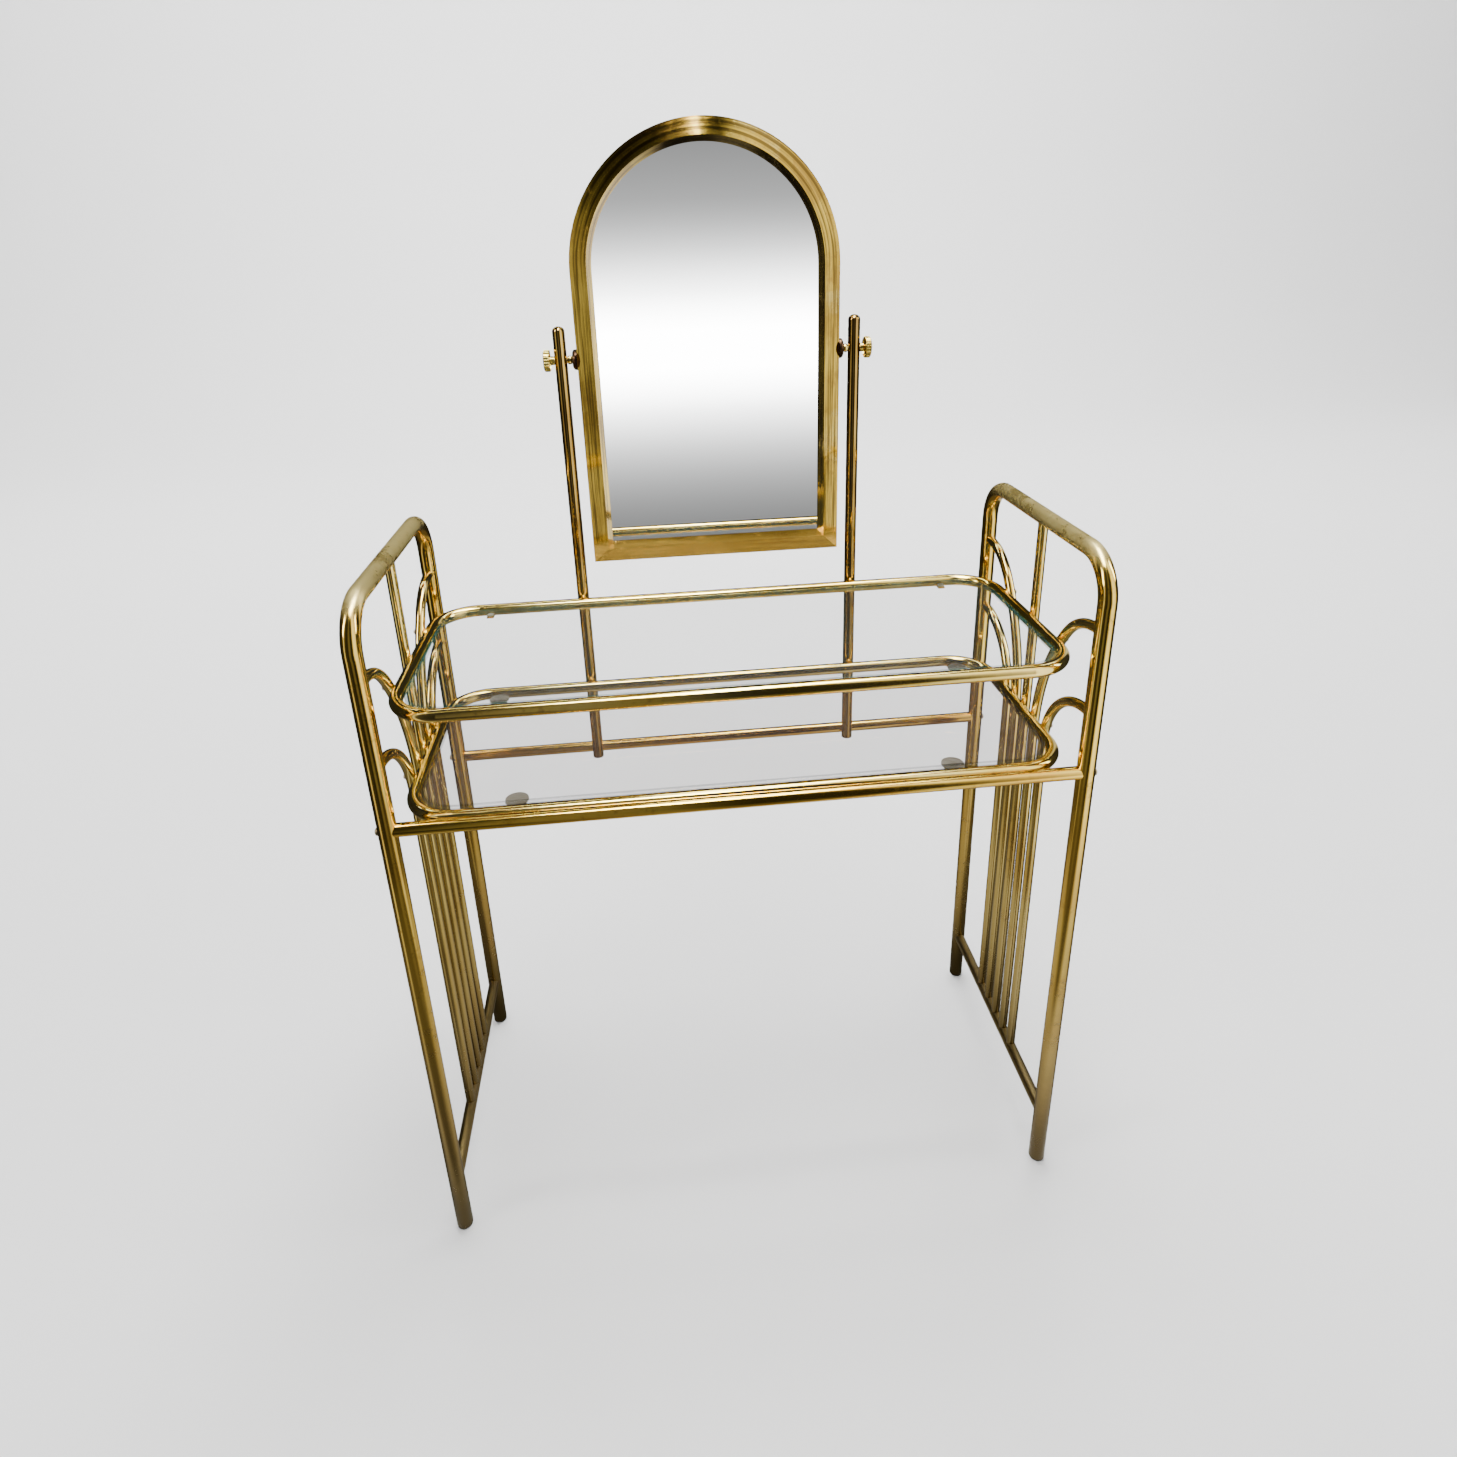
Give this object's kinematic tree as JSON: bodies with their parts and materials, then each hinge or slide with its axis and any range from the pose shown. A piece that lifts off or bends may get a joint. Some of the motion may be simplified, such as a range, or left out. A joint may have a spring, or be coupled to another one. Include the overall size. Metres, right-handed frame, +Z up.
{
  "type": "vanity table with mirror",
  "caption": "Narrow brass tube vanity table with looped side frames and palm-fan bars, a framed glass top, a lower glass shelf and an arched mirror that tilts between two posts.",
  "frame": {"origin": "on the floor, midway between the four legs", "axes": "+Z up; the front faces -Y; +X is to the right seen from the front"},
  "size_m": [0.7852, 0.345, 1.3039],
  "materials": {
    "brass_side_frame": "polished, aged, brown tarnish",
    "brass_low_rail": "polished, tarnished near the floor",
    "brass_fan": "polished, lightly tarnished",
    "brass_cross_rail": "polished, lightly tarnished",
    "brass_ring": "polished",
    "brass_hidden": "plain",
    "brass_tab": "plain",
    "brass_post": "polished, dark lacquer",
    "brass_mirror_frame": "polished, amber lacquer",
    "brass_spacer": "polished",
    "brass_knob": "polished",
    "glass_clear": "clear, green edges",
    "glass_smoke": "faintly smoked",
    "vinyl_clear": "clear soft vinyl",
    "black_plastic": "moulded",
    "steel_insert": "zinc plated",
    "steel_screw": "brassed, dull",
    "steel_bolt": "brassed",
    "rubber_foot": "hard rubber",
    "mirror_silver": "silvered glass",
    "hardboard": "dark hardboard",
    "bronze_dark": "dark bronze lacquer"
  },
  "bodies": {
    "frame": {"side_frame_left": "brass_side_frame", "side_rail_left": "brass_low_rail", "fan_centre_left": "brass_fan", "fan_inner_front_left": "brass_fan", "fan_outer_front_left": "brass_fan", "fan_inner_rear_left": "brass_fan", "fan_outer_rear_left": "brass_fan", "side_frame_right": "brass_side_frame", "side_rail_right": "brass_low_rail", "fan_centre_right": "brass_fan", "fan_inner_front_right": "brass_fan", "fan_outer_front_right": "brass_fan", "fan_inner_rear_right": "brass_fan", "fan_outer_rear_right": "brass_fan", "front_rail": "brass_cross_rail", "rear_rail": "brass_cross_rail", "upper_ring": "brass_ring", "lower_ring": "brass_ring", "ring_sleeves": "brass_hidden", "upper_glass": "glass_clear", "lower_glass": "glass_smoke", "upper_tabs": "brass_tab", "lower_tabs": "brass_tab", "upper_bumpers": "vinyl_clear", "lower_pads": "vinyl_clear", "post_left": "brass_post", "post_right": "brass_post", "post_caps": "brass_post", "post_plugs": "black_plastic", "rail_inserts": "steel_insert", "rail_screws": "steel_screw", "ring_screws": "steel_screw", "post_screws": "steel_screw", "foot_glides": "rubber_foot"},
    "mirror": {"mirror_frame_arch": "brass_mirror_frame", "mirror_frame_base": "brass_mirror_frame", "mirror_glass": "mirror_silver", "mirror_backboard": "hardboard", "pivot_bolts": "steel_bolt", "pivot_domes": "bronze_dark", "pivot_spacers": "brass_spacer"},
    "knob_left_body": {"knob_left": "brass_knob"},
    "knob_right_body": {"knob_right": "brass_knob"}
  },
  "joints": [
    {"name": "mirror_tilt", "type": "hinge", "parent": "frame", "child": "mirror", "pos_m": [0, 0.1475, 1.042], "axis": [1, 0, 0], "range_deg": [-180, 180]},
    {"name": "knob_left_turn", "type": "hinge", "parent": "mirror", "child": "knob_left_body", "pos_m": [-0.198, 0.1475, 1.042], "axis": [-1, 0, 0], "range_deg": [0, 360]},
    {"name": "knob_right_turn", "type": "hinge", "parent": "mirror", "child": "knob_right_body", "pos_m": [0.198, 0.1475, 1.042], "axis": [1, 0, 0], "range_deg": [0, 360]}
  ]
}
